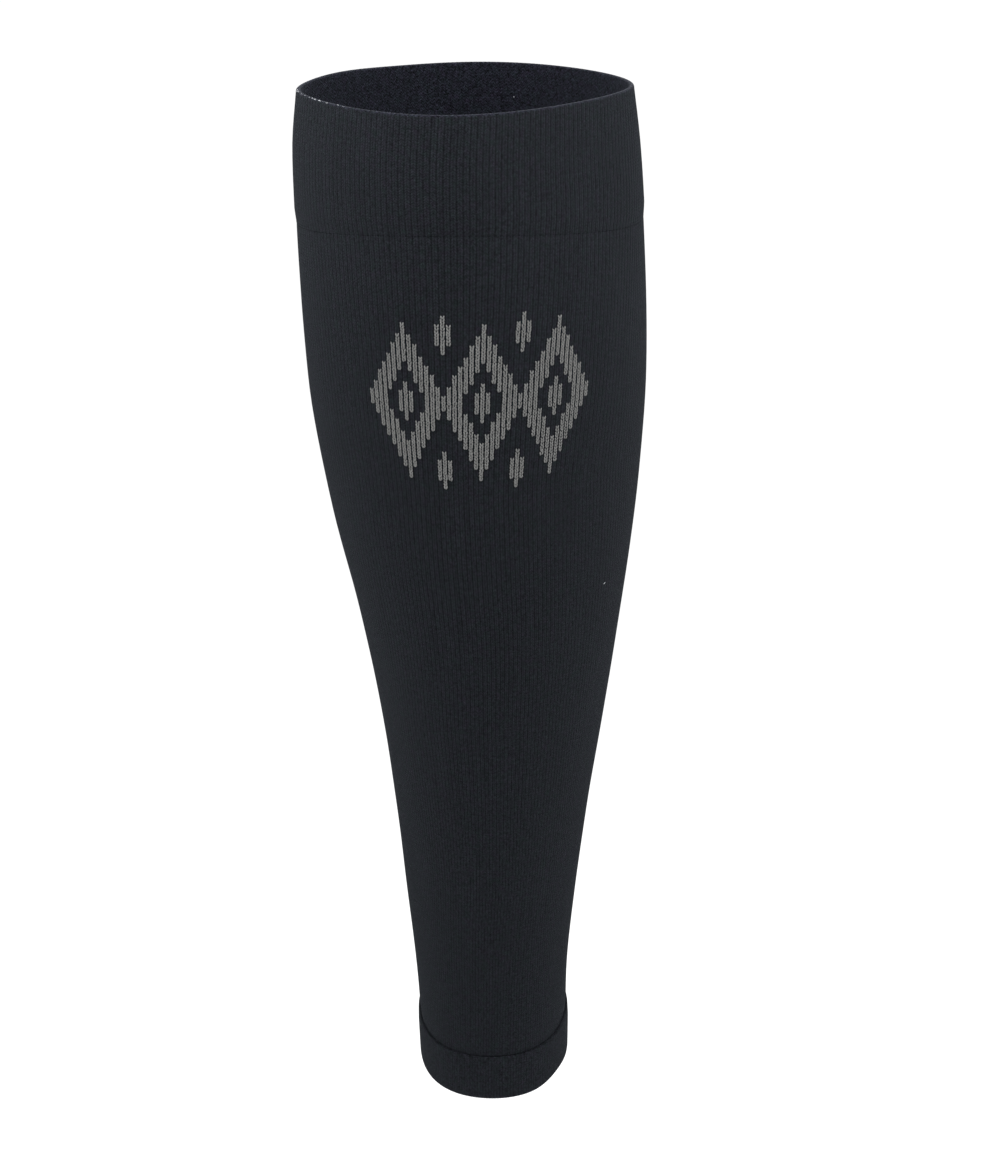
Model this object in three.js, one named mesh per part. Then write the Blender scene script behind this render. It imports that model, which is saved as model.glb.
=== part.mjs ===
// Calf compression sleeve, in the shape that it has on a leg. Millimetres, +Z up, shin towards -Y.
// The origin is the middle of the leg at the fullest section of the calf.
import * as THREE from 'three';

// Lengths along the leg
const SLEEVE_LENGTH = 370; // hem fold to top rim
const CALF_HEIGHT = 288; // hem fold to the fullest section of the calf
const CUFF_HEIGHT = 45; // rim to the cuff's lower edge, at the sides and the back
const CUFF_RISE = 7; // how much higher that edge lies over the shin
const HEM_HEIGHT = 18.5; // hem fold to the hem band's upper edge

// Outside sizes of the single-ply tube, across the leg and from shin to calf
const TOP_WIDTH = 110;
const TOP_DEPTH = 99;
const CALF_WIDTH = 118;
const CALF_DEPTH = 112;
const ANKLE_WIDTH = 55.5;
const ANKLE_DEPTH = 79;

// The knit and the joints between the tube and its two welts
const KNIT_WALL = 1.2; // one ply of the knit
const CUFF_PROUD = 0.5; // how far the cuff stands out from the tube
const HEM_PROUD = 0.9; // how far the hem band stands out from the tube
const LAP = 6; // how far the tube reaches under a welt's outer ply
const DRAW_IN = 9; // height over which the tube narrows before a lap
const GAP = 0.3; // clearance between pieces that touch

// Fineness of the solids
const SIDES = 48;
const TUBE_ROWS = 22;
const CUFF_ROWS = 5;
const HEM_ROWS = 3;
const FOLD_STEPS = 3;

// Sections of the leg inside the sleeve, from the rim down to the hem fold.
// level: 1 at the rim, 0 at the calf, -1 at the hem fold
// wide, deep: 0 for the size of that end, 1 for the size of the calf
// aside, behind: place of the section's middle, as shares of the calf's width and depth
// egg: how much broader the section is at the back; lean: how far its back shifts to +X;
// lens: how far shin and back run to a point, or are blunt where it is negative,
// the first two as shares of its half width and the last of its half depth
const SECTIONS = [
  { level: 1.0, wide: 0.0, deep: 0.0, aside: -0.024, behind: -0.04, egg: 0.06, lean: 0.1, lens: 0.07 },
  { level: 0.77, wide: 0.56, deep: 0.27, aside: -0.022, behind: -0.03, egg: 0.07, lean: 0.1, lens: 0.06 },
  { level: 0.45, wide: 0.86, deep: 0.62, aside: -0.012, behind: -0.017, egg: 0.09, lean: 0.09, lens: 0.03 },
  { level: 0.0, wide: 1.0, deep: 1.0, aside: 0.002, behind: 0.0, egg: 0.1, lean: 0.08, lens: 0.0 },
  { level: -0.1, wide: 0.97, deep: 1.03, aside: 0.011, behind: 0.005, egg: 0.1, lean: 0.07, lens: 0.0 },
  { level: -0.23, wide: 0.836, deep: 0.95, aside: 0.027, behind: 0.002, egg: 0.09, lean: 0.06, lens: 0.0 },
  { level: -0.36, wide: 0.627, deep: 0.73, aside: 0.046, behind: -0.008, egg: 0.07, lean: 0.05, lens: 0.0 },
  { level: -0.49, wide: 0.434, deep: 0.48, aside: 0.053, behind: -0.022, egg: 0.06, lean: 0.05, lens: 0.0 },
  { level: -0.62, wide: 0.267, deep: 0.26, aside: 0.051, behind: -0.032, egg: 0.04, lean: 0.04, lens: 0.0 },
  { level: -0.75, wide: 0.135, deep: 0.09, aside: 0.049, behind: -0.039, egg: 0.02, lean: 0.04, lens: 0.0 },
  { level: -0.87, wide: 0.032, deep: 0.0, aside: 0.05, behind: -0.041, egg: 0.0, lean: 0.03, lens: -0.02 },
  { level: -1.0, wide: 0.0, deep: 0.0, aside: 0.055, behind: -0.04, egg: 0.0, lean: 0.02, lens: -0.035 },
];

// One row of the table as real sizes, at its height above the hem fold
function station(row) {
  const top = row.level > 0;
  const reach = top ? SLEEVE_LENGTH - CALF_HEIGHT : CALF_HEIGHT;
  const width = THREE.MathUtils.lerp(top ? TOP_WIDTH : ANKLE_WIDTH, CALF_WIDTH, row.wide);
  const depth = THREE.MathUtils.lerp(top ? TOP_DEPTH : ANKLE_DEPTH, CALF_DEPTH, row.deep);
  return {
    height: CALF_HEIGHT + row.level * reach,
    halfWidth: width / 2,
    halfDepth: depth / 2,
    aside: row.aside * CALF_WIDTH,
    behind: row.behind * CALF_DEPTH,
    egg: row.egg,
    lean: row.lean * (width / 2),
    lens: row.lens * (depth / 2),
  };
}

const STATIONS = SECTIONS.map(station).reverse();

const COLUMNS = ['halfWidth', 'halfDepth', 'aside', 'behind', 'egg', 'lean', 'lens'];

// Slope of one column at a station, from its neighbours
function slope(index, column) {
  const below = STATIONS[Math.max(index - 1, 0)];
  const above = STATIONS[Math.min(index + 1, STATIONS.length - 1)];
  return (above[column] - below[column]) / (above.height - below.height);
}

// The section at a height, each column on a smooth curve through the stations
function sectionAt(height) {
  let index = 0;
  while (index < STATIONS.length - 2 && height > STATIONS[index + 1].height) index += 1;
  const low = STATIONS[index];
  const high = STATIONS[index + 1];
  const span = high.height - low.height;
  const t = (height - low.height) / span;
  const section = {};
  for (const column of COLUMNS) {
    section[column] =
      (1 + 2 * t) * (1 - t) ** 2 * low[column] +
      t * (1 - t) ** 2 * span * slope(index, column) +
      t ** 2 * (3 - 2 * t) * high[column] +
      t ** 2 * (t - 1) * span * slope(index + 1, column);
  }
  return section;
}

// A point of the knit: at an angle round the leg, a height above the hem fold, and an inset
// measured square to the outline, from the tube's outside towards the leg
function knitPoint(angle, height, inset) {
  const s = sectionAt(height);
  const cos = Math.cos(angle);
  const sin = Math.sin(angle);
  const outline = new THREE.Vector2(
    s.aside + s.halfWidth * cos * (1 + s.egg * sin) + s.lean * sin,
    s.behind + s.halfDepth * sin - s.lens * Math.sin(3 * angle),
  );
  const along = new THREE.Vector2(
    s.halfWidth * (s.egg * cos * cos - sin * (1 + s.egg * sin)) + s.lean * cos,
    s.halfDepth * cos - 3 * s.lens * Math.cos(3 * angle),
  ).normalize();
  return new THREE.Vector3(
    outline.x - along.y * inset,
    outline.y + along.x * inset,
    height - CALF_HEIGHT,
  );
}

// Closed ring round the leg: profileAt(angle) gives its wall's cross-section there, as
// points of height and inset that go up outside, over the top and down inside
function ring(name, profileAt) {
  const positions = [];
  const faces = [];
  let rows = 0;
  for (let side = 0; side < SIDES; side += 1) {
    const angle = (2 * Math.PI * side) / SIDES;
    const profile = profileAt(angle);
    rows = profile.length;
    for (const { height, inset } of profile) positions.push(...knitPoint(angle, height, inset));
  }
  for (let side = 0; side < SIDES; side += 1) {
    const here = side * rows;
    const next = ((side + 1) % SIDES) * rows;
    for (let row = 0; row < rows; row += 1) {
      const up = (row + 1) % rows;
      faces.push(here + row, next + row, next + up);
      faces.push(here + row, next + up, here + up);
    }
  }
  const geometry = new THREE.BufferGeometry();
  geometry.setAttribute('position', new THREE.Float32BufferAttribute(positions, 3));
  geometry.setIndex(faces);
  geometry.computeVertexNormals();
  const mesh = new THREE.Mesh(geometry, knitMaterial());
  mesh.name = name;
  return mesh;
}

function knitMaterial() {
  return new THREE.MeshStandardMaterial({ color: 0x212427, roughness: 0.95, metalness: 0 });
}

// Lower edge of the cuff, which lies higher over the shin
function cuffEdge(angle) {
  const shin = Math.max(0, -Math.sin(angle)) ** 2;
  return SLEEVE_LENGTH - CUFF_HEIGHT + CUFF_RISE * shin;
}

// Heights from one end to the other in equal steps, both ends included
function heights(from, to, steps) {
  return Array.from({ length: steps + 1 }, (_, i) => THREE.MathUtils.lerp(from, to, i / steps));
}

// How far the tube's outside lies below its free shape, to fit under a welt's outer ply
const tuck = (proud) => KNIT_WALL + GAP - proud;

// The tube: single ply, narrowed at each end to reach under the welts
function tubeProfile(angle) {
  const cuff = cuffEdge(angle);
  const hem = HEM_HEIGHT;
  const narrowed = (height) =>
    tuck(CUFF_PROUD) * THREE.MathUtils.smoothstep(height, cuff - DRAW_IN, cuff) +
    tuck(HEM_PROUD) * (1 - THREE.MathUtils.smoothstep(height, hem, hem + DRAW_IN));
  const rows = [
    hem - LAP,
    ...heights(hem, hem + DRAW_IN, 2),
    ...heights(hem + DRAW_IN, cuff - DRAW_IN, TUBE_ROWS).slice(1, -1),
    ...heights(cuff - DRAW_IN, cuff, 2),
    cuff + LAP,
  ];
  const outside = rows.map((height) => ({ height, inset: narrowed(height) }));
  const inside = rows.map((height) => ({ height, inset: narrowed(height) + KNIT_WALL }));
  return [...outside, ...inside.reverse()];
}

// A welt: the knit doubled over at the fold, its outer ply lapping over the tube's end.
// All heights run from its free edge to the fold, upwards for the cuff, downwards for the hem.
function weltProfile(edge, fold, proud, rows) {
  const way = Math.sign(fold - edge);
  const outer = -proud;
  const inner = tuck(proud) + KNIT_WALL;
  const radius = (inner - outer) / 2;
  const tubeEnd = edge + way * (LAP + GAP);
  const turn = fold - way * radius;
  const rounded = [];
  for (let step = 1; step < 2 * FOLD_STEPS; step += 1) {
    const angle = (Math.PI * step) / (2 * FOLD_STEPS);
    rounded.push({
      height: turn + way * radius * Math.sin(angle),
      inset: outer + radius * (1 - Math.cos(angle)),
    });
  }
  return [
    ...heights(edge, turn, rows).map((height) => ({ height, inset: outer })),
    ...rounded,
    ...heights(turn, tubeEnd, rows - 1).map((height) => ({ height, inset: inner })),
    { height: tubeEnd, inset: KNIT_WALL - proud },
    { height: edge, inset: KNIT_WALL - proud },
  ];
}

const cuffProfile = (angle) => weltProfile(cuffEdge(angle), SLEEVE_LENGTH, CUFF_PROUD, CUFF_ROWS);

// The hem's profile is turned end for end, so that it too goes up outside
const hemProfile = () => weltProfile(HEM_HEIGHT, 0, HEM_PROUD, HEM_ROWS).reverse();

const sleeve = new THREE.Group();
sleeve.add(ring('top_welt', cuffProfile));
sleeve.add(ring('calf_tube', tubeProfile));
sleeve.add(ring('ankle_welt', hemProfile));

export default sleeve;
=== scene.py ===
# Looks of the calf compression sleeve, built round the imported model.
# Blender's unit is the metre; the shape functions work in millimetres and convert at the end.
import math

import bpy
import numpy as np
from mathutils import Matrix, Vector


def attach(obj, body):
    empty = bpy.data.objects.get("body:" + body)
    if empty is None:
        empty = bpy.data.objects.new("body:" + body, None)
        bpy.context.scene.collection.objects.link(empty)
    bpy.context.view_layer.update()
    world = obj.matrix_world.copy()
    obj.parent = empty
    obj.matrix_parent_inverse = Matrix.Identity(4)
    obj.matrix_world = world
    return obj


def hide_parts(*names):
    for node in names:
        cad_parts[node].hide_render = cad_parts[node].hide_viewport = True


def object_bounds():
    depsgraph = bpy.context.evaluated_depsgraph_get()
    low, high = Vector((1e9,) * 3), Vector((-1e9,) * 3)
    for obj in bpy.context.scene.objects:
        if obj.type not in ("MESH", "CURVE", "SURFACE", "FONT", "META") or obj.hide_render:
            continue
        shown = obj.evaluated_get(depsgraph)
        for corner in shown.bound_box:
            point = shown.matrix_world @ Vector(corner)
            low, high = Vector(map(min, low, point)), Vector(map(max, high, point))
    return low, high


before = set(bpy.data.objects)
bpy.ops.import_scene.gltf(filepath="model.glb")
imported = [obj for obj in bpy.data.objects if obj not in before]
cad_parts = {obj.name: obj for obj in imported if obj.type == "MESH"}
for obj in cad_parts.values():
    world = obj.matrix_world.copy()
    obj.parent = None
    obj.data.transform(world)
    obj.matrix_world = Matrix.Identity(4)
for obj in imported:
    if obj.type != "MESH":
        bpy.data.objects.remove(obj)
CAD_LOW, CAD_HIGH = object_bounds()
MM = 0.001

# Lengths along the leg, the same as in the part's source
CALF_HEIGHT = -CAD_LOW.z / MM
SLEEVE_LENGTH = (CAD_HIGH.z - CAD_LOW.z) / MM
CUFF_HEIGHT = 45.0
CUFF_RISE = 7.0
HEM_HEIGHT = 18.5

# Outside sizes of the tube, across the leg and from shin to calf
TOP_SIZE = (110.0, 99.0)
CALF_SIZE = (118.0, 112.0)
ANKLE_SIZE = (55.5, 79.0)

# The knit and its joints with the welts
KNIT_WALL = 1.2
CUFF_PROUD = 0.5
HEM_PROUD = 0.9
LAP = 6.0
GAP = 0.3

# The free edge of each welt: how far it stands out, how thick it is, and the depth and
# height of the tube's dip in front of it
CUFF_EDGE = {"out": 0.07, "thick": 0.12, "dip": 0.07, "dip_height": 1.2}
HEM_EDGE = {"out": 0.7, "thick": 0.95, "dip": 0.3, "dip_height": 5.0}
CUFF_FOLD = 1.5  # thickness of the cuff at its fold
HEM_FOLD = 2.2

# Rows that round off a welt's free edge: how far in from the edge, in millimetres, and how
# deep below its outside, as a share of the edge's thickness
EDGE_ROWS = ((0.2, 1.0), (0.0, 0.5), (0.2, 0.1), (0.7, 0.0))
EDGE_BLEND = (3.0, 0.6)  # this far in, the ply is this share of the way to its full outset
EDGE_END = 5.0  # it has its full outset from here on
FOLD_POINTS = 10
FOLD_RIBS = 0.25  # least strength of the ribs round the fold
INSIDE_AND_SHADE_FROM = 0.3  # angle round the fold, in radians, from which the inside's darker yarn is used; over the fold's top it is painted shade, where the top catches the light

# Where the rim and the hem's fold rise: the outline's angle, the hump's width in radians
# and its rise
RIM_BUMP = {"angle": 2.5, "width": 0.35, "rise": 0.8}
FOLD_BUMP = {"angle": 5.75, "width": 0.3, "rise": 1.3}

# The stitches: a wale is one rib up the leg, a course one row of stitches round it
WALES = 180
COURSE = 1.0
RIB_DEPTH = 0.22
RIB_STEPS = (0.0, 0.14, 0.32, 0.5, 0.68, 0.86)  # places across one wale, from groove to groove
RIB_SHAPE = (-0.7, -0.05, 0.3, 0.08, 0.3, -0.05)  # relief there, as shares of the ribs' depth
TWIST_LEVELS = (0.0, 90.0, 157.0, 370.0)  # the wales wind a little round the leg:
TWIST_TURNS = (-0.3, -0.18, -0.18, 0.0)  # by these angles at those heights
# How much closer the wales lie in front, at each height
GATHER_LEVELS = (0.0, 90.0, 150.0, 200.0, 245.0, 290.0, 315.0, 340.0, 370.0)
GATHER = (0.16, 0.15, 0.1, 0.13, 0.17, 0.08, 0.0, -0.07, -0.11)
COLUMNS = WALES * len(RIB_STEPS)
BODY_INSIDE_RIBS = -0.3  # strength of the ribs inside: the reverse of those outside
WELT_INSIDE_RIBS = 0.2
HEM_CLEAR, CUFF_CLEAR = 9.0, 5.0  # the tube's even rows stay this far from its welts
WAVES = (0.07, 0.04)  # heights of the knit's slow and quick unevenness, in millimetres

# Sections of the leg, from the rim down to the hem's fold, as in the part's source. All are
# shares. Columns: level, from the calf's section up to the rim or down to the hem's fold;
# wide and deep, of the way from that end's size to the calf's; aside and behind, of the
# calf's size; egg, the width gained behind and lost in front; lean, the back's shift to the
# right, and lens, the sharpening of its two sides, of the section's half sizes.
SECTIONS = (
    (1.0, 0.0, 0.0, -0.024, -0.04, 0.06, 0.1, 0.07),
    (0.77, 0.56, 0.27, -0.022, -0.03, 0.07, 0.1, 0.06),
    (0.45, 0.86, 0.62, -0.012, -0.017, 0.09, 0.09, 0.03),
    (0.0, 1.0, 1.0, 0.002, 0.0, 0.1, 0.08, 0.0),
    (-0.1, 0.97, 1.03, 0.011, 0.005, 0.1, 0.07, 0.0),
    (-0.23, 0.836, 0.95, 0.027, 0.002, 0.09, 0.06, 0.0),
    (-0.36, 0.627, 0.73, 0.046, -0.008, 0.07, 0.05, 0.0),
    (-0.49, 0.434, 0.48, 0.053, -0.022, 0.06, 0.05, 0.0),
    (-0.62, 0.267, 0.26, 0.051, -0.032, 0.04, 0.04, 0.0),
    (-0.75, 0.135, 0.09, 0.049, -0.039, 0.02, 0.04, 0.0),
    (-0.87, 0.032, 0.0, 0.05, -0.041, 0.0, 0.03, -0.02),
    (-1.0, 0.0, 0.0, 0.055, -0.04, 0.0, 0.02, -0.035),
)


def stations():
    """The table as real sizes, from the hem up: height, half width, half depth and so on."""
    rows = []
    for row in reversed(SECTIONS):
        level, wide, deep, aside, behind, egg, lean, lens = row
        reach = SLEEVE_LENGTH - CALF_HEIGHT if level > 0 else CALF_HEIGHT
        end = TOP_SIZE if level > 0 else ANKLE_SIZE
        half_width = (end[0] + (CALF_SIZE[0] - end[0]) * wide) / 2
        half_depth = (end[1] + (CALF_SIZE[1] - end[1]) * deep) / 2
        rows.append((
            CALF_HEIGHT + level * reach, half_width, half_depth, aside * CALF_SIZE[0],
            behind * CALF_SIZE[1], egg, lean * half_width, lens * half_depth,
        ))
    return np.array(rows)


def sections_at(heights):
    """The section's sizes at each height, on smooth curves through the stations."""
    table = stations()
    knots, values = table[:, 0], table[:, 1:]
    last = len(knots) - 1
    below = np.maximum(np.arange(last + 1) - 1, 0)
    above = np.minimum(np.arange(last + 1) + 1, last)
    slopes = (values[above] - values[below]) / (knots[above] - knots[below])[:, None]
    low = np.clip(np.searchsorted(knots, heights, side="right") - 1, 0, last - 1)
    span = (knots[low + 1] - knots[low])[:, None]
    t = (heights[:, None] - knots[low][:, None]) / span
    return (
        (1 + 2 * t) * (1 - t) ** 2 * values[low]
        + t * (1 - t) ** 2 * span * slopes[low]
        + t**2 * (3 - 2 * t) * values[low + 1]
        + t**2 * (t - 1) * span * slopes[low + 1]
    )


def outline_grid(levels=186, around=1440):
    """Outlines of the leg at even heights, as points and as their angles.

    They start behind the leg and run anticlockwise seen from above. The wales keep their
    number all the way up, so they gather towards the ankle."""
    heights = np.linspace(0, SLEEVE_LENGTH, levels)
    columns = sections_at(heights)
    half_width, half_depth, aside, behind, egg, lean, lens = columns.T[:, :, None]
    start = math.pi / 2 + np.interp(heights, TWIST_LEVELS, TWIST_TURNS)[:, None]
    angle = start + np.linspace(0, 2 * math.pi, 4 * around + 1)[None]
    x = aside + half_width * np.cos(angle) * (1 + egg * np.sin(angle)) + lean * np.sin(angle)
    y = behind + half_depth * np.sin(angle) - lens * np.sin(3 * angle)
    step = np.hypot(np.diff(x), np.diff(y))
    along = np.concatenate([np.zeros((levels, 1)), np.cumsum(step, axis=1)], axis=1)
    points = np.empty((levels, around + 1, 2))
    turns = np.empty((levels, around + 1))
    even = np.linspace(0, 1, around + 1)
    gather = np.interp(heights, GATHER_LEVELS, GATHER) / (2 * math.pi)
    for i in range(levels):
        share = along[i, -1] * (even + gather[i] * np.sin(2 * math.pi * even))
        points[i, :, 0] = np.interp(share, along[i], x[i])
        points[i, :, 1] = np.interp(share, along[i], y[i])
        turns[i] = np.interp(share, along[i], angle[i])
    return points, turns


GRID_POINTS, GRID_ANGLES = outline_grid()


def grid_lookup(values, wale, height):
    """Reads a grid of values at wale numbers and heights, straight between its entries."""
    levels, around = values.shape[0] - 1, values.shape[1] - 1
    row = np.clip(height / SLEEVE_LENGTH * levels, 0, levels - 1e-6)
    column = np.mod(wale / WALES, 1.0) * around
    i, j = row.astype(int), np.minimum(column.astype(int), around - 1)
    di, dj = row - i, column - j
    if values.ndim == 3:
        di, dj = di[..., None], dj[..., None]
    low = values[i, j] * (1 - dj) + values[i, j + 1] * dj
    high = values[i + 1, j] * (1 - dj) + values[i + 1, j + 1] * dj
    return low * (1 - di) + high * di


def knit_points(wale, height, outset):
    """Points of the knit, in metres: at a wale, a height above the hem fold, and an outset
    measured square to the outline from the tube's outside."""
    wale, height, outset = np.broadcast_arrays(wale, height, outset)
    near = 0.25  # of a wale
    here = grid_lookup(GRID_POINTS, wale, height)
    after = grid_lookup(GRID_POINTS, wale + near, height)
    way = after - grid_lookup(GRID_POINTS, wale - near, height)
    way /= np.linalg.norm(way, axis=-1, keepdims=True)
    x = here[..., 0] + way[..., 1] * outset
    y = here[..., 1] - way[..., 0] * outset
    return np.stack([x, y, height - CALF_HEIGHT], axis=-1) * MM


def bump_at(wale, level, angle, width, rise):
    """A local rise round an angle of the outline at one level, as a smooth hump."""
    here = grid_lookup(GRID_ANGLES, wale, np.full(np.shape(wale), float(level)))
    away = np.mod(here - angle + math.pi, 2 * math.pi) - math.pi
    return rise * np.exp(-((away / width) ** 2))


def rim_height(wale):
    """Height of the rim, which isn't quite level: a soft edge rises behind on the left."""
    return SLEEVE_LENGTH + bump_at(wale, SLEEVE_LENGTH, **RIM_BUMP)


def fold_height(wale):
    """Height of the hem's fold, drawn up a little on the right."""
    return bump_at(wale, 0.0, **FOLD_BUMP)


def cuff_edge(wale):
    """Height of the cuff's lower edge, which lies higher over the shin."""
    angle = grid_lookup(GRID_ANGLES, wale, np.full(np.shape(wale), SLEEVE_LENGTH - CUFF_HEIGHT))
    return SLEEVE_LENGTH - CUFF_HEIGHT + CUFF_RISE * np.maximum(0, -np.sin(angle)) ** 2


def smooth_step(value, start, end):
    """From 0 at the start to 1 at the end, level at both."""
    t = np.clip((value - start) / (end - start), 0, 1)
    return t * t * (3 - 2 * t)


def rib_relief(wale):
    """Ribs parted in two, with deeper grooves between them, in millimetres about the mean."""
    return RIB_DEPTH * np.interp(np.mod(wale, 1.0), (*RIB_STEPS, 1.0), (*RIB_SHAPE, RIB_SHAPE[0]))


def waviness(wale, height):
    """Slow unevenness of a worn knit, in millimetres: it closes round the leg."""
    turn = 2 * math.pi * wale / WALES
    slow = np.sin(3 * turn + height / 31) + np.sin(5 * turn - height / 19 + 2)
    quick = np.sin(11 * turn + height / 7.3 + 1) * np.sin(height / 23)
    return WAVES[0] * slow + WAVES[1] * quick


WALE = (np.arange(WALES)[:, None] + np.array(RIB_STEPS)).ravel()


class Profile:
    """The wall's cross-section as rows round the leg: outside going up, inside going down."""

    def __init__(self):
        self.rows = []

    def add(self, height, outset, ribs, inner=False):
        """One row; height and outset may vary round the leg, and ribs is their strength."""
        height = np.broadcast_to(height, WALE.shape)
        relief = ribs * rib_relief(WALE) + waviness(WALE, height)
        self.rows.append((height, outset + relief, inner))

    def line(self, start, end, steps, outset, ribs, inner=False):
        """Rows from one height to the other in even steps, both ends included."""
        for share in np.linspace(0, 1, steps + 1):
            height = start + (end - start) * share
            offset = outset(height) if callable(outset) else outset
            self.add(height, offset, ribs, inner)


def ring_mesh(name, profile, materials):
    """A closed ring of knit from a profile, with its wales and courses as its UV map."""
    height = np.array([row[0] for row in profile.rows])
    outset = np.array([row[1] for row in profile.rows])
    inner = np.array([row[2] for row in profile.rows])
    rows = len(height)
    points = knit_points(WALE[None], height, outset)
    column = np.arange(COLUMNS)
    beside = (column + 1) % COLUMNS
    row = np.arange(rows)[:, None]
    up = (row + 1) % rows
    corners = ((row, column), (row, beside), (up, beside), (up, column))
    numbers = np.broadcast_arrays(*(r * COLUMNS + c for r, c in corners))
    faces = np.stack(numbers, axis=-1).reshape(-1, 4)

    step = np.linalg.norm(np.diff(points, axis=0, append=points[:1]), axis=2).mean(axis=1)
    course = np.concatenate([[0], np.cumsum(step)]) / (COURSE * MM)
    wale_next = np.append(WALE[1:], WALES)
    u = np.broadcast_to(np.stack([WALE, wale_next, wale_next, WALE], axis=-1), (rows, COLUMNS, 4))
    v = np.stack([course[:-1], course[:-1], course[1:], course[1:]], axis=-1)[:, None]
    uv = np.stack(np.broadcast_arrays(u, v), axis=-1).reshape(-1, 2)

    mesh = mesh_of(name, points.reshape(-1, 3), faces)
    layer = mesh.uv_layers.new(name="knit")
    layer.data.foreach_set("uv", uv.astype(np.float32).ravel())
    for material in materials:
        mesh.materials.append(material)
    inside = np.repeat(inner.astype(np.int32), COLUMNS)
    mesh.polygons.foreach_set("material_index", inside)
    return piece(name, mesh)


def mesh_of(name, points, faces):
    """A smooth mesh from arrays of points and of faces with the same number of corners."""
    mesh = bpy.data.meshes.new(name)
    sides = faces.shape[1]
    mesh.vertices.add(len(points))
    mesh.vertices.foreach_set("co", points.astype(np.float32).ravel())
    mesh.loops.add(faces.size)
    mesh.loops.foreach_set("vertex_index", faces.astype(np.int32).ravel())
    mesh.polygons.add(len(faces))
    mesh.polygons.foreach_set("loop_start", np.arange(0, faces.size, sides, dtype=np.int32))
    mesh.polygons.foreach_set("use_smooth", np.ones(len(faces), bool))
    mesh.update(calc_edges=True)
    mesh.validate()
    return mesh


def piece(name, mesh):
    """An object of the scene with the given mesh."""
    thing = bpy.data.objects.new(name, mesh)
    bpy.context.scene.collection.objects.link(thing)
    return thing


# Pieces


def tuck(proud):
    """How far the tube lies below its free surface under a welt's outer ply."""
    return KNIT_WALL + GAP - proud


def body_profile():
    """The one-ply tube, drawn in before each welt and tucked under it."""
    cuff = cuff_edge(WALE)
    hem = np.full_like(WALE, HEM_HEIGHT)

    def outside(height):
        at_cuff = CUFF_EDGE["dip"] * smooth_step(height, cuff - CUFF_EDGE["dip_height"], cuff)
        at_hem = HEM_EDGE["dip"] * (1 - smooth_step(height, hem, hem + HEM_EDGE["dip_height"]))
        return -at_cuff - at_hem

    def inside(height):
        return outside(height) - KNIT_WALL

    wall = Profile()
    wall.add(hem - LAP, -tuck(HEM_PROUD), 0.0)
    wall.line(hem, hem + HEM_EDGE["dip_height"], 4, outside, 1.0)
    wall.line(hem + HEM_CLEAR, cuff - CUFF_CLEAR, 54, outside, 1.0)
    wall.line(cuff - CUFF_EDGE["dip_height"], cuff, 3, outside, 1.0)
    wall.add(cuff + LAP, -tuck(CUFF_PROUD), 0.0)
    wall.add(cuff + LAP, -tuck(CUFF_PROUD) - KNIT_WALL, 0.0, True)
    wall.line(cuff, hem, 20, inside, BODY_INSIDE_RIBS, True)
    wall.add(hem - LAP, -tuck(HEM_PROUD) - KNIT_WALL, 0.0, True)
    return wall


def welt_profile(edge, fold, fold_thick, proud, free, steps):
    """A doubled welt, from its free edge over the fold and back down inside."""
    way = np.sign(fold - edge).mean()
    inner = -tuck(proud) - KNIT_WALL
    radius = fold_thick / 2
    turn = fold - way * radius
    tube_end = edge + way * (LAP + GAP)

    def inside(height):
        from_fold = (height - turn) / (tube_end - turn)
        return proud - fold_thick + from_fold * (inner - proud + fold_thick)

    wall = Profile()
    for inward, depth in EDGE_ROWS:
        wall.add(edge + way * inward, free["out"] - depth * free["thick"], 1.0)
    inward, share = EDGE_BLEND
    wall.add(edge + way * inward, (1 - share) * free["out"] + share * proud, 1.0)
    wall.line(edge + way * EDGE_END, turn, steps, proud, 1.0)
    for angle in np.linspace(0, math.pi, FOLD_POINTS)[1:-1]:
        ribs = max(FOLD_RIBS, math.cos(angle / 2))
        out = proud - radius * (1 - math.cos(angle))
        # Past the given angle the inside's darker yarn is used, which covers the fold's top too as
        # painted shade.
        wall.add(turn + way * radius * math.sin(angle), out, ribs, angle > INSIDE_AND_SHADE_FROM)
    wall.line(turn, tube_end, steps, inside, WELT_INSIDE_RIBS, True)
    wall.add(tube_end, proud - KNIT_WALL, 0.0, True)
    return wall


def cuff_profile():
    edge = cuff_edge(WALE)
    return welt_profile(edge, rim_height(WALE), CUFF_FOLD, CUFF_PROUD, CUFF_EDGE, steps=9)


def hem_profile():
    """The hem's profile is turned end for end, so that it too goes up outside."""
    edge = np.full_like(WALE, HEM_HEIGHT)
    wall = welt_profile(edge, fold_height(WALE), HEM_FOLD, HEM_PROUD, HEM_EDGE, steps=5)
    wall.rows.reverse()
    return wall


# The knitted-in motif: grey lozenges, hollow with a full heart, in a row along the front
MOTIF_WALE = 96.5
MOTIF_HEIGHT = 276.5
LOZENGE = (7.0, 24.0)  # half width in wales and half height in courses
LOZENGE_LINE = (0.56, 1.09)  # shares of the way out where the grey line starts and ends
LOZENGE_HEART = 0.27
NOTCH_LOZENGE = (0.95, 0.28)  # small ones between the tips: their level and size, as shares
MOTIF_REACH = (3.0, 1.3)  # half the motif's width and height, in half lozenges
NOTCH_REACH = 2.0  # the small ones stay this close to the motif's middle, in half lozenges
STITCH_SHIFT = 0.03  # how unevenly the stitches lie, in wales
LEG_PARTING = (0.08, 0.22)  # a leg's distance from its wale's middle, and its gain along the leg
LEG_LENGTH = 1.25  # in courses
LEG_ARCH = (0.05, 0.14)  # how far out a leg's ends lie, and how much further its middle
YARN_RADIUS = 0.27
YARN_SIDES = 6
LEG_THICKNESS = (0.25, 0.92, 1.0, 0.88, 0.25)  # along one leg of a stitch, as shares


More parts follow.
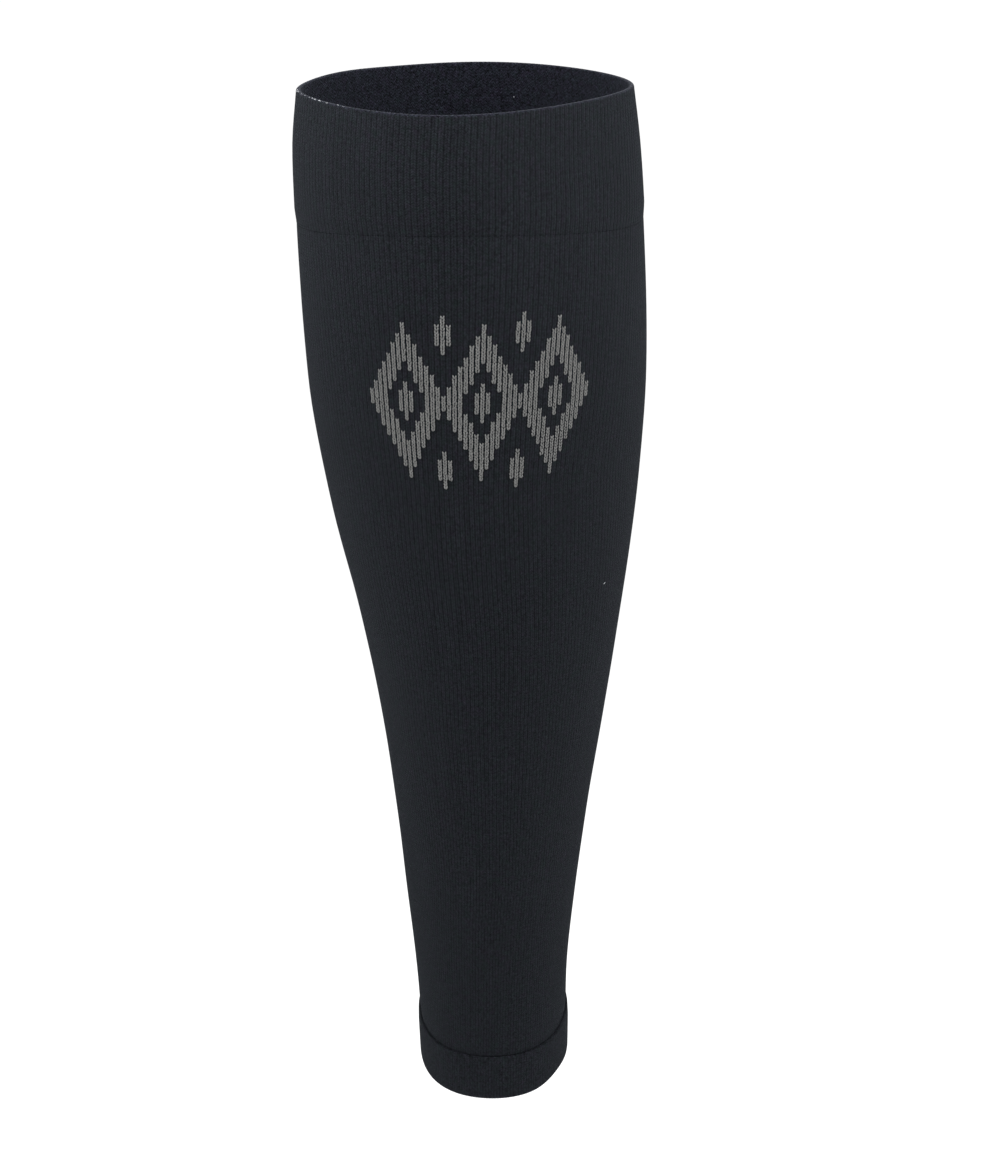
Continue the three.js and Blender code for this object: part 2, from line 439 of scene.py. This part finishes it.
def motif_stitches():
    """Wale and course of each grey stitch, counted from the motif's middle."""
    wales, courses = (int(reach * half) for reach, half in zip(MOTIF_REACH, LOZENGE))
    wale, course = np.meshgrid(np.arange(-wales, wales + 1), np.arange(-courses, courses + 1))
    across, up = wale / LOZENGE[0], np.abs(course) / LOZENGE[1]
    to_middle = np.abs(np.mod(across + 1, 2) - 1)
    out = to_middle + up
    grey = ((out > LOZENGE_LINE[0]) & (out < LOZENGE_LINE[1])) | (out < LOZENGE_HEART)
    level, size = NOTCH_LOZENGE
    beside = (1 - to_middle) + np.abs(up - level)
    grey |= (beside < size) & (np.abs(across) < NOTCH_REACH)
    return wale[grey], course[grey]


def strands(name, wale, height, out, thickness, material):
    """Short strands of yarn along the given points of the knit, one row of points for each."""
    centre = knit_points(wale, height, out)
    outward = knit_points(wale, height, out + 1.0) - centre
    outward /= np.linalg.norm(outward, axis=-1, keepdims=True)
    run = np.gradient(centre, axis=1)
    run /= np.linalg.norm(run, axis=-1, keepdims=True)
    beside = np.cross(run, outward)
    beside /= np.linalg.norm(beside, axis=-1, keepdims=True)
    above = np.cross(beside, run)
    turn = (np.arange(YARN_SIDES) * 2 * math.pi / YARN_SIDES)[:, None]
    ring = np.cos(turn) * beside[:, :, None] + np.sin(turn) * above[:, :, None]
    points = centre[:, :, None] + MM * np.asarray(thickness)[:, None, None] * ring

    count, along = wale.shape
    first = np.arange(count)[:, None, None] * along * YARN_SIDES
    level = np.arange(along - 1)[None, :, None] * YARN_SIDES
    corner = np.arange(YARN_SIDES)[None, None]
    next_corner = (corner + 1) % YARN_SIDES
    corners = (corner, next_corner, next_corner + YARN_SIDES, corner + YARN_SIDES)
    sides = np.stack(np.broadcast_arrays(*(first + level + c for c in corners)), axis=-1)
    cap = np.array([[0, 3, 2, 1], [0, 5, 4, 3]])  # two faces close a six-sided end
    caps = np.concatenate([cap, cap[:, ::-1] + (along - 1) * YARN_SIDES])
    faces = np.concatenate([sides.reshape(-1, 4), (first + caps[None]).reshape(-1, 4)])
    mesh = mesh_of(name, points.reshape(-1, 3), faces)
    mesh.materials.append(material)
    return piece(name, mesh)


def motif_yarn(material):
    """Each grey stitch is two legs that lean apart upwards, as those of a V."""
    wale, course = motif_stitches()
    random = np.random.default_rng(7)
    along = np.linspace(0, 1, len(LEG_THICKNESS))
    side = np.repeat((-1, 1), len(wale))[:, None]
    wale, course = np.tile(wale, 2)[:, None], np.tile(course, 2)[:, None]
    shift = random.normal(0, STITCH_SHIFT, (2, len(wale), 1))
    middle = MOTIF_WALE + wale + shift[0] + side * (LEG_PARTING[0] + LEG_PARTING[1] * along)
    height = MOTIF_HEIGHT + COURSE * (course + 2 * shift[1] + LEG_LENGTH * (along - 0.5))
    arch = LEG_ARCH[0] + LEG_ARCH[1] * np.sin(math.pi * along)
    out = np.broadcast_to(arch, height.shape)
    thickness = YARN_RADIUS * np.array(LEG_THICKNESS)
    return strands("motif_yarn", middle, height, out, thickness, material)


# Pale thread ends. Each has a start and a length, in wales, a height, a place further out
# or in, and a rise, in millimetres.
RIM_THREADS = (50.0, 71.0, 17)  # first and last wale of those along the rim, and their number
# Their ranges: start against even places, length, height against the rim, place and rise
RIM_RANGES = ((-0.4, 0.4), (0.25, 0.85), (-0.27, 0.0), (-0.05, 0.3), (-0.15, 0.15))
LOOSE_THREADS = ((126.8, 0.5, 202.0, 0.2, 0.5), (173.5, 0.25, 357.8, -2.0, 0.2))
THREAD_RADIUS = 0.11
THREAD_THICKNESS = (0.4, 0.9, 1.0, 0.9, 0.4)  # along one of them, as shares


def thread_ends(material):
    """Bits of pale elastic along the front left of the rim, a snag and a fleck of lint."""
    random = np.random.default_rng(11)
    first, last, number = RIM_THREADS
    offsets = [random.uniform(low, high, number) for low, high in RIM_RANGES]
    offsets[0] += np.linspace(first, last, number)
    offsets[2] += SLEEVE_LENGTH
    rows = np.concatenate([np.stack(offsets, axis=1), LOOSE_THREADS])
    start, length, height, out, rise = rows.T[:, :, None]
    along = np.linspace(0, 1, len(THREAD_THICKNESS))
    wale = start + length * along
    thickness = THREAD_RADIUS * np.array(THREAD_THICKNESS)
    return strands("thread_ends", wale, height + rise * along, out + 0 * along, thickness, material)


# Materials


class Graph:
    """A material's node tree, with short calls for the nodes that it needs."""

    def __init__(self, name):
        self.material = bpy.data.materials.new(name)
        self.material.use_nodes = True
        self.tree = self.material.node_tree
        self.shader = self.tree.nodes["Principled BSDF"]

    def put(self, value, socket):
        """Links a node's output to the socket, or sets the socket to a constant."""
        if isinstance(value, bpy.types.NodeSocket):
            self.tree.links.new(value, socket)
        else:
            socket.default_value = value

    def node(self, kind, inputs=(), **settings):
        node = self.tree.nodes.new(kind)
        for key, value in settings.items():
            setattr(node, key, value)
        for key, value in dict(inputs).items():
            self.put(value, node.inputs[key])
        return node

    def math(self, operation, *values):
        node = self.node("ShaderNodeMath", operation=operation)
        for value, socket in zip(values, node.inputs):
            self.put(value, socket)
        return node.outputs[0]

    def noise(self, vector, scale, detail=2.0, roughness=0.5):
        inputs = {"Vector": vector, "Scale": scale, "Detail": detail, "Roughness": roughness}
        return self.node("ShaderNodeTexNoise", inputs).outputs["Fac"]

    def product(self, first, *others):
        """The values multiplied together."""
        for other in others:
            first = self.math("MULTIPLY", first, other)
        return first

    def surface(self, settings):
        """Sets inputs of the surface shader by name, and gives back the material."""
        for name, value in settings.items():
            self.put(value, self.shader.inputs[name])
        return self.material

    def scaled(self, colour, value):
        """A colour times a value."""
        node = self.node("ShaderNodeVectorMath", {0: colour, "Scale": value}, operation="SCALE")
        return node.outputs[0]

    def spread(self, value, low, high):
        """A value from 0 to 1, moved to the range from low to high."""
        return self.math("MULTIPLY_ADD", value, high - low, low)


def wale_and_course(graph):
    """The two coordinates of the knit's UV map."""
    knit = graph.node("ShaderNodeUVMap", uv_map="knit").outputs[0]
    split = graph.node("ShaderNodeSeparateXYZ", {"Vector": knit})
    return split.outputs[0], split.outputs[1]


CHARCOAL = (0.0072, 0.0082, 0.0102)
INSIDE = (0.0068, 0.0073, 0.0108)
GREY = (0.085, 0.086, 0.084)
PALE = (0.3, 0.31, 0.33)
MELANGE = ((1.35, 0.8, 1.2), (0.65, 1.2, 0.8))  # the two yarns' tints, which nearly cancel out
STITCH_LEAN = 1.6  # courses that a stitch's leg climbs for each wale
STREAK_STRETCH = 0.022  # share of a course that counts, so that the streaks run up the leg

# Noises of the yarns: scale, detail and roughness
KNIT_FIBRE = (2600.0, 3.0, 0.7)
KNIT_STREAK = (0.9, 3.0, 0.6)
KNIT_PATCH = (22.0, 2.0, 0.5)
KNIT_SPECKLE = (1100.0, 3.0, 0.8)
KNIT_HUE = (480.0, 3.0, 0.7)
YARN_FIBRE = (3200.0, 3.0, 0.7)
YARN_STITCH = (700.0, 1.0, 0.5)


# groove sets the strength of the painted shade in the grooves and the ribs' partings
def knit_material(name, colour, groove=0.7, stitch=1.0, speckled=1.5):
    """Charcoal ribbed knit: rows of small V stitches, painted shade between their legs, in the
    grooves and in the ribs' partings, streaks and speckle.
    """
    graph = Graph(name)
    wale, course = wale_and_course(graph)
    place = graph.node("ShaderNodeTexCoord").outputs["Object"]

    across = graph.math("ABSOLUTE", graph.math("SUBTRACT", graph.math("FRACT", wale), 0.5))
    leaning = graph.math("MULTIPLY_ADD", across, STITCH_LEAN, course)
    leg = graph.math("ABSOLUTE", graph.math("SUBTRACT", graph.math("FRACT", leaning), 0.5))
    loop = graph.math("SUBTRACT", 1.0, graph.math("POWER", graph.product(leg, 2.0), 2.0))
    parting = graph.math("MINIMUM", graph.product(across, 6.0), 1.0)
    groove_shade = graph.math("POWER", graph.product(across, 2.0), 4.0)

    height = graph.math("MULTIPLY_ADD", loop, 0.55 * stitch, graph.product(parting, 0.25 * stitch))
    height = graph.math("MULTIPLY_ADD", graph.noise(place, *KNIT_FIBRE), 0.7, height)
    bump = graph.node("ShaderNodeBump", {"Height": height, "Strength": 0.8, "Distance": 0.00022})

    climb = graph.product(course, STREAK_STRETCH)
    stretched = graph.node("ShaderNodeCombineXYZ", {0: wale, 1: climb, 2: 0.0}).outputs[0]
    # Painted shade: the colour darkens where the stitches' legs dip, in the grooves and in the
    # partings; the streaks, patches and speckle are the yarn's own uneven tone.
    value = graph.product(
        graph.spread(loop, 0.86, 1.06),
        graph.spread(groove_shade, 1.0, 1.0 - groove),
        graph.spread(parting, 1.0 - 0.6 * groove, 1.0),
        graph.spread(graph.noise(stretched, *KNIT_STREAK), 0.72, 1.28),
        graph.spread(graph.noise(place, *KNIT_PATCH), 0.9, 1.1),
        graph.spread(graph.noise(place, *KNIT_SPECKLE), 1.0 - speckled, 1.0 + speckled),
    )
    hue = graph.node("ShaderNodeMix", {0: graph.noise(place, *KNIT_HUE)}, data_type="RGBA")
    for socket, tint in zip(("A", "B"), MELANGE):
        graph.put((*(c * t for c, t in zip(colour, tint)), 1.0), hue.inputs[socket])
    return graph.surface({
        "Base Color": graph.scaled(hue.outputs["Result"], value),
        "Normal": bump.outputs[0],
        "Roughness": 0.92,
        "Specular IOR Level": 0.04,
        "Sheen Weight": 0.025,
        "Sheen Roughness": 0.5,
        "Sheen Tint": (0.75, 0.85, 1.0, 1.0),
    })


def yarn_material(name, colour):
    """Spun yarn, with twisted fibres and a little unevenness from stitch to stitch."""
    graph = Graph(name)
    place = graph.node("ShaderNodeTexCoord").outputs["Object"]
    fibre = graph.noise(place, *YARN_FIBRE)
    stitch = graph.noise(place, *YARN_STITCH)
    bump = graph.node("ShaderNodeBump", {"Height": fibre, "Strength": 0.7, "Distance": 0.0002})
    value = graph.product(graph.spread(stitch, 0.65, 1.35), graph.spread(fibre, 0.7, 1.3))
    return graph.surface({
        "Base Color": graph.scaled(colour, value),
        "Normal": bump.outputs[0],
        "Roughness": 0.85,
        "Specular IOR Level": 0.25,
        "Sheen Weight": 0.2,
    })


def plain_material(name, colour, roughness):
    settings = {"Base Color": (*colour, 1.0), "Roughness": roughness, "Specular IOR Level": 0.0}
    return Graph(name).surface(settings)


# Stage: floor, light and camera
PICTURE = (1000, 1150)  # the photograph's frame, in pixels
FOCAL_PIXELS = 2246.5
EYE = (8.9 * MM, -754.1 * MM, 206.0 * MM)
PITCH = 0.378  # the camera looks down by this angle, in radians
FLOOR_DROP = 0.9  # how far the floor lies below the hem, in metres
FLOOR_REACH = 30.0
WORLD_STRENGTH = 1.12

# Area lights: name, place, target and size in metres, and power in watts
LIGHTS = (
    ("rim_light", (0.0, -0.2, 0.31), (0.0, -0.03, 0.06), (0.5, 0.15), 2.6),
    ("left_light", (-0.4, -0.05, 0.33), (-0.03, 0.0, 0.06), (0.2, 0.2), 1.6),
    ("right_light", (0.4, -0.05, 0.33), (0.03, 0.0, 0.06), (0.2, 0.2), 1.3),
    ("back_light", (0.0, 0.95, 0.75), (0.0, 0.0, -0.05), (0.9, 0.7), 18.0),
    ("low_light", (0.0, -0.55, -0.42), (0.0, 0.0, -0.28), (0.4, 0.2), 1.9),
)


def make_camera():
    data = bpy.data.cameras.new("camera")
    data.sensor_width = 36.0
    data.lens = data.sensor_width * FOCAL_PIXELS / max(PICTURE)
    data.clip_start, data.clip_end = 0.05, 100.0
    camera = bpy.data.objects.new("camera", data)
    camera.location = EYE
    camera.rotation_euler = (math.pi / 2 - PITCH, 0.0, 0.0)
    bpy.context.scene.collection.objects.link(camera)
    bpy.context.scene.camera = camera


def make_light(name, place, target, size, power):
    data = bpy.data.lights.new(name, "AREA")
    data.shape = "RECTANGLE"
    data.size, data.size_y = size
    data.energy = power
    light = bpy.data.objects.new(name, data)
    light.location = place
    way = np.array(target) - np.array(place)
    flat = math.hypot(way[0], way[1])
    light.rotation_euler = (math.pi / 2 + math.atan2(way[2], flat), 0.0, math.atan2(-way[0], way[1]))
    bpy.context.scene.collection.objects.link(light)


def make_stage():
    corners = np.array(((-1, -1, 0), (1, -1, 0), (1, 1, 0), (-1, 1, 0))) * FLOOR_REACH
    floor = piece("floor", mesh_of("floor", corners, np.array([[0, 1, 2, 3]])))
    floor.location.z = CAD_LOW.z - FLOOR_DROP
    floor.data.materials.append(plain_material("floor", (0.93, 0.93, 0.93), 0.9))
    world = bpy.data.worlds.new("studio")
    world.use_nodes = True
    background = world.node_tree.nodes["Background"]
    background.inputs["Color"].default_value = (1.0, 1.0, 1.0, 1.0)
    background.inputs["Strength"].default_value = WORLD_STRENGTH
    bpy.context.scene.world = world
    for light in LIGHTS:
        make_light(*light)
    bpy.context.scene.view_settings.view_transform = "Standard"


def main():
    body_knit = knit_material("body_knit", CHARCOAL)
    cuff_knit = knit_material("cuff_knit", CHARCOAL)
    hem_knit = knit_material("hem_knit", CHARCOAL, speckled=2.0)
    inside_knit = knit_material("inside_knit", INSIDE, groove=0.1, stitch=1.6, speckled=3.0)
    grey_yarn = yarn_material("grey_yarn", GREY)
    pale_thread = yarn_material("pale_thread", PALE)

    body = ring_mesh("body", body_profile(), (body_knit, inside_knit))
    cuff = ring_mesh("cuff", cuff_profile(), (cuff_knit, inside_knit))
    hem = ring_mesh("hem", hem_profile(), (hem_knit, inside_knit))
    motif = motif_yarn(grey_yarn)
    threads = thread_ends(pale_thread)
    for thing, node, slot in (
        (body, "calf_tube", "body_knit"),
        (cuff, "top_welt", "cuff_knit"),
        (hem, "ankle_welt", "hem_knit"),
    ):
        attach(thing, "root")
        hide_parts(node)
    for thing in (motif, threads):
        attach(thing, "root")
    make_camera()
    make_stage()


main()
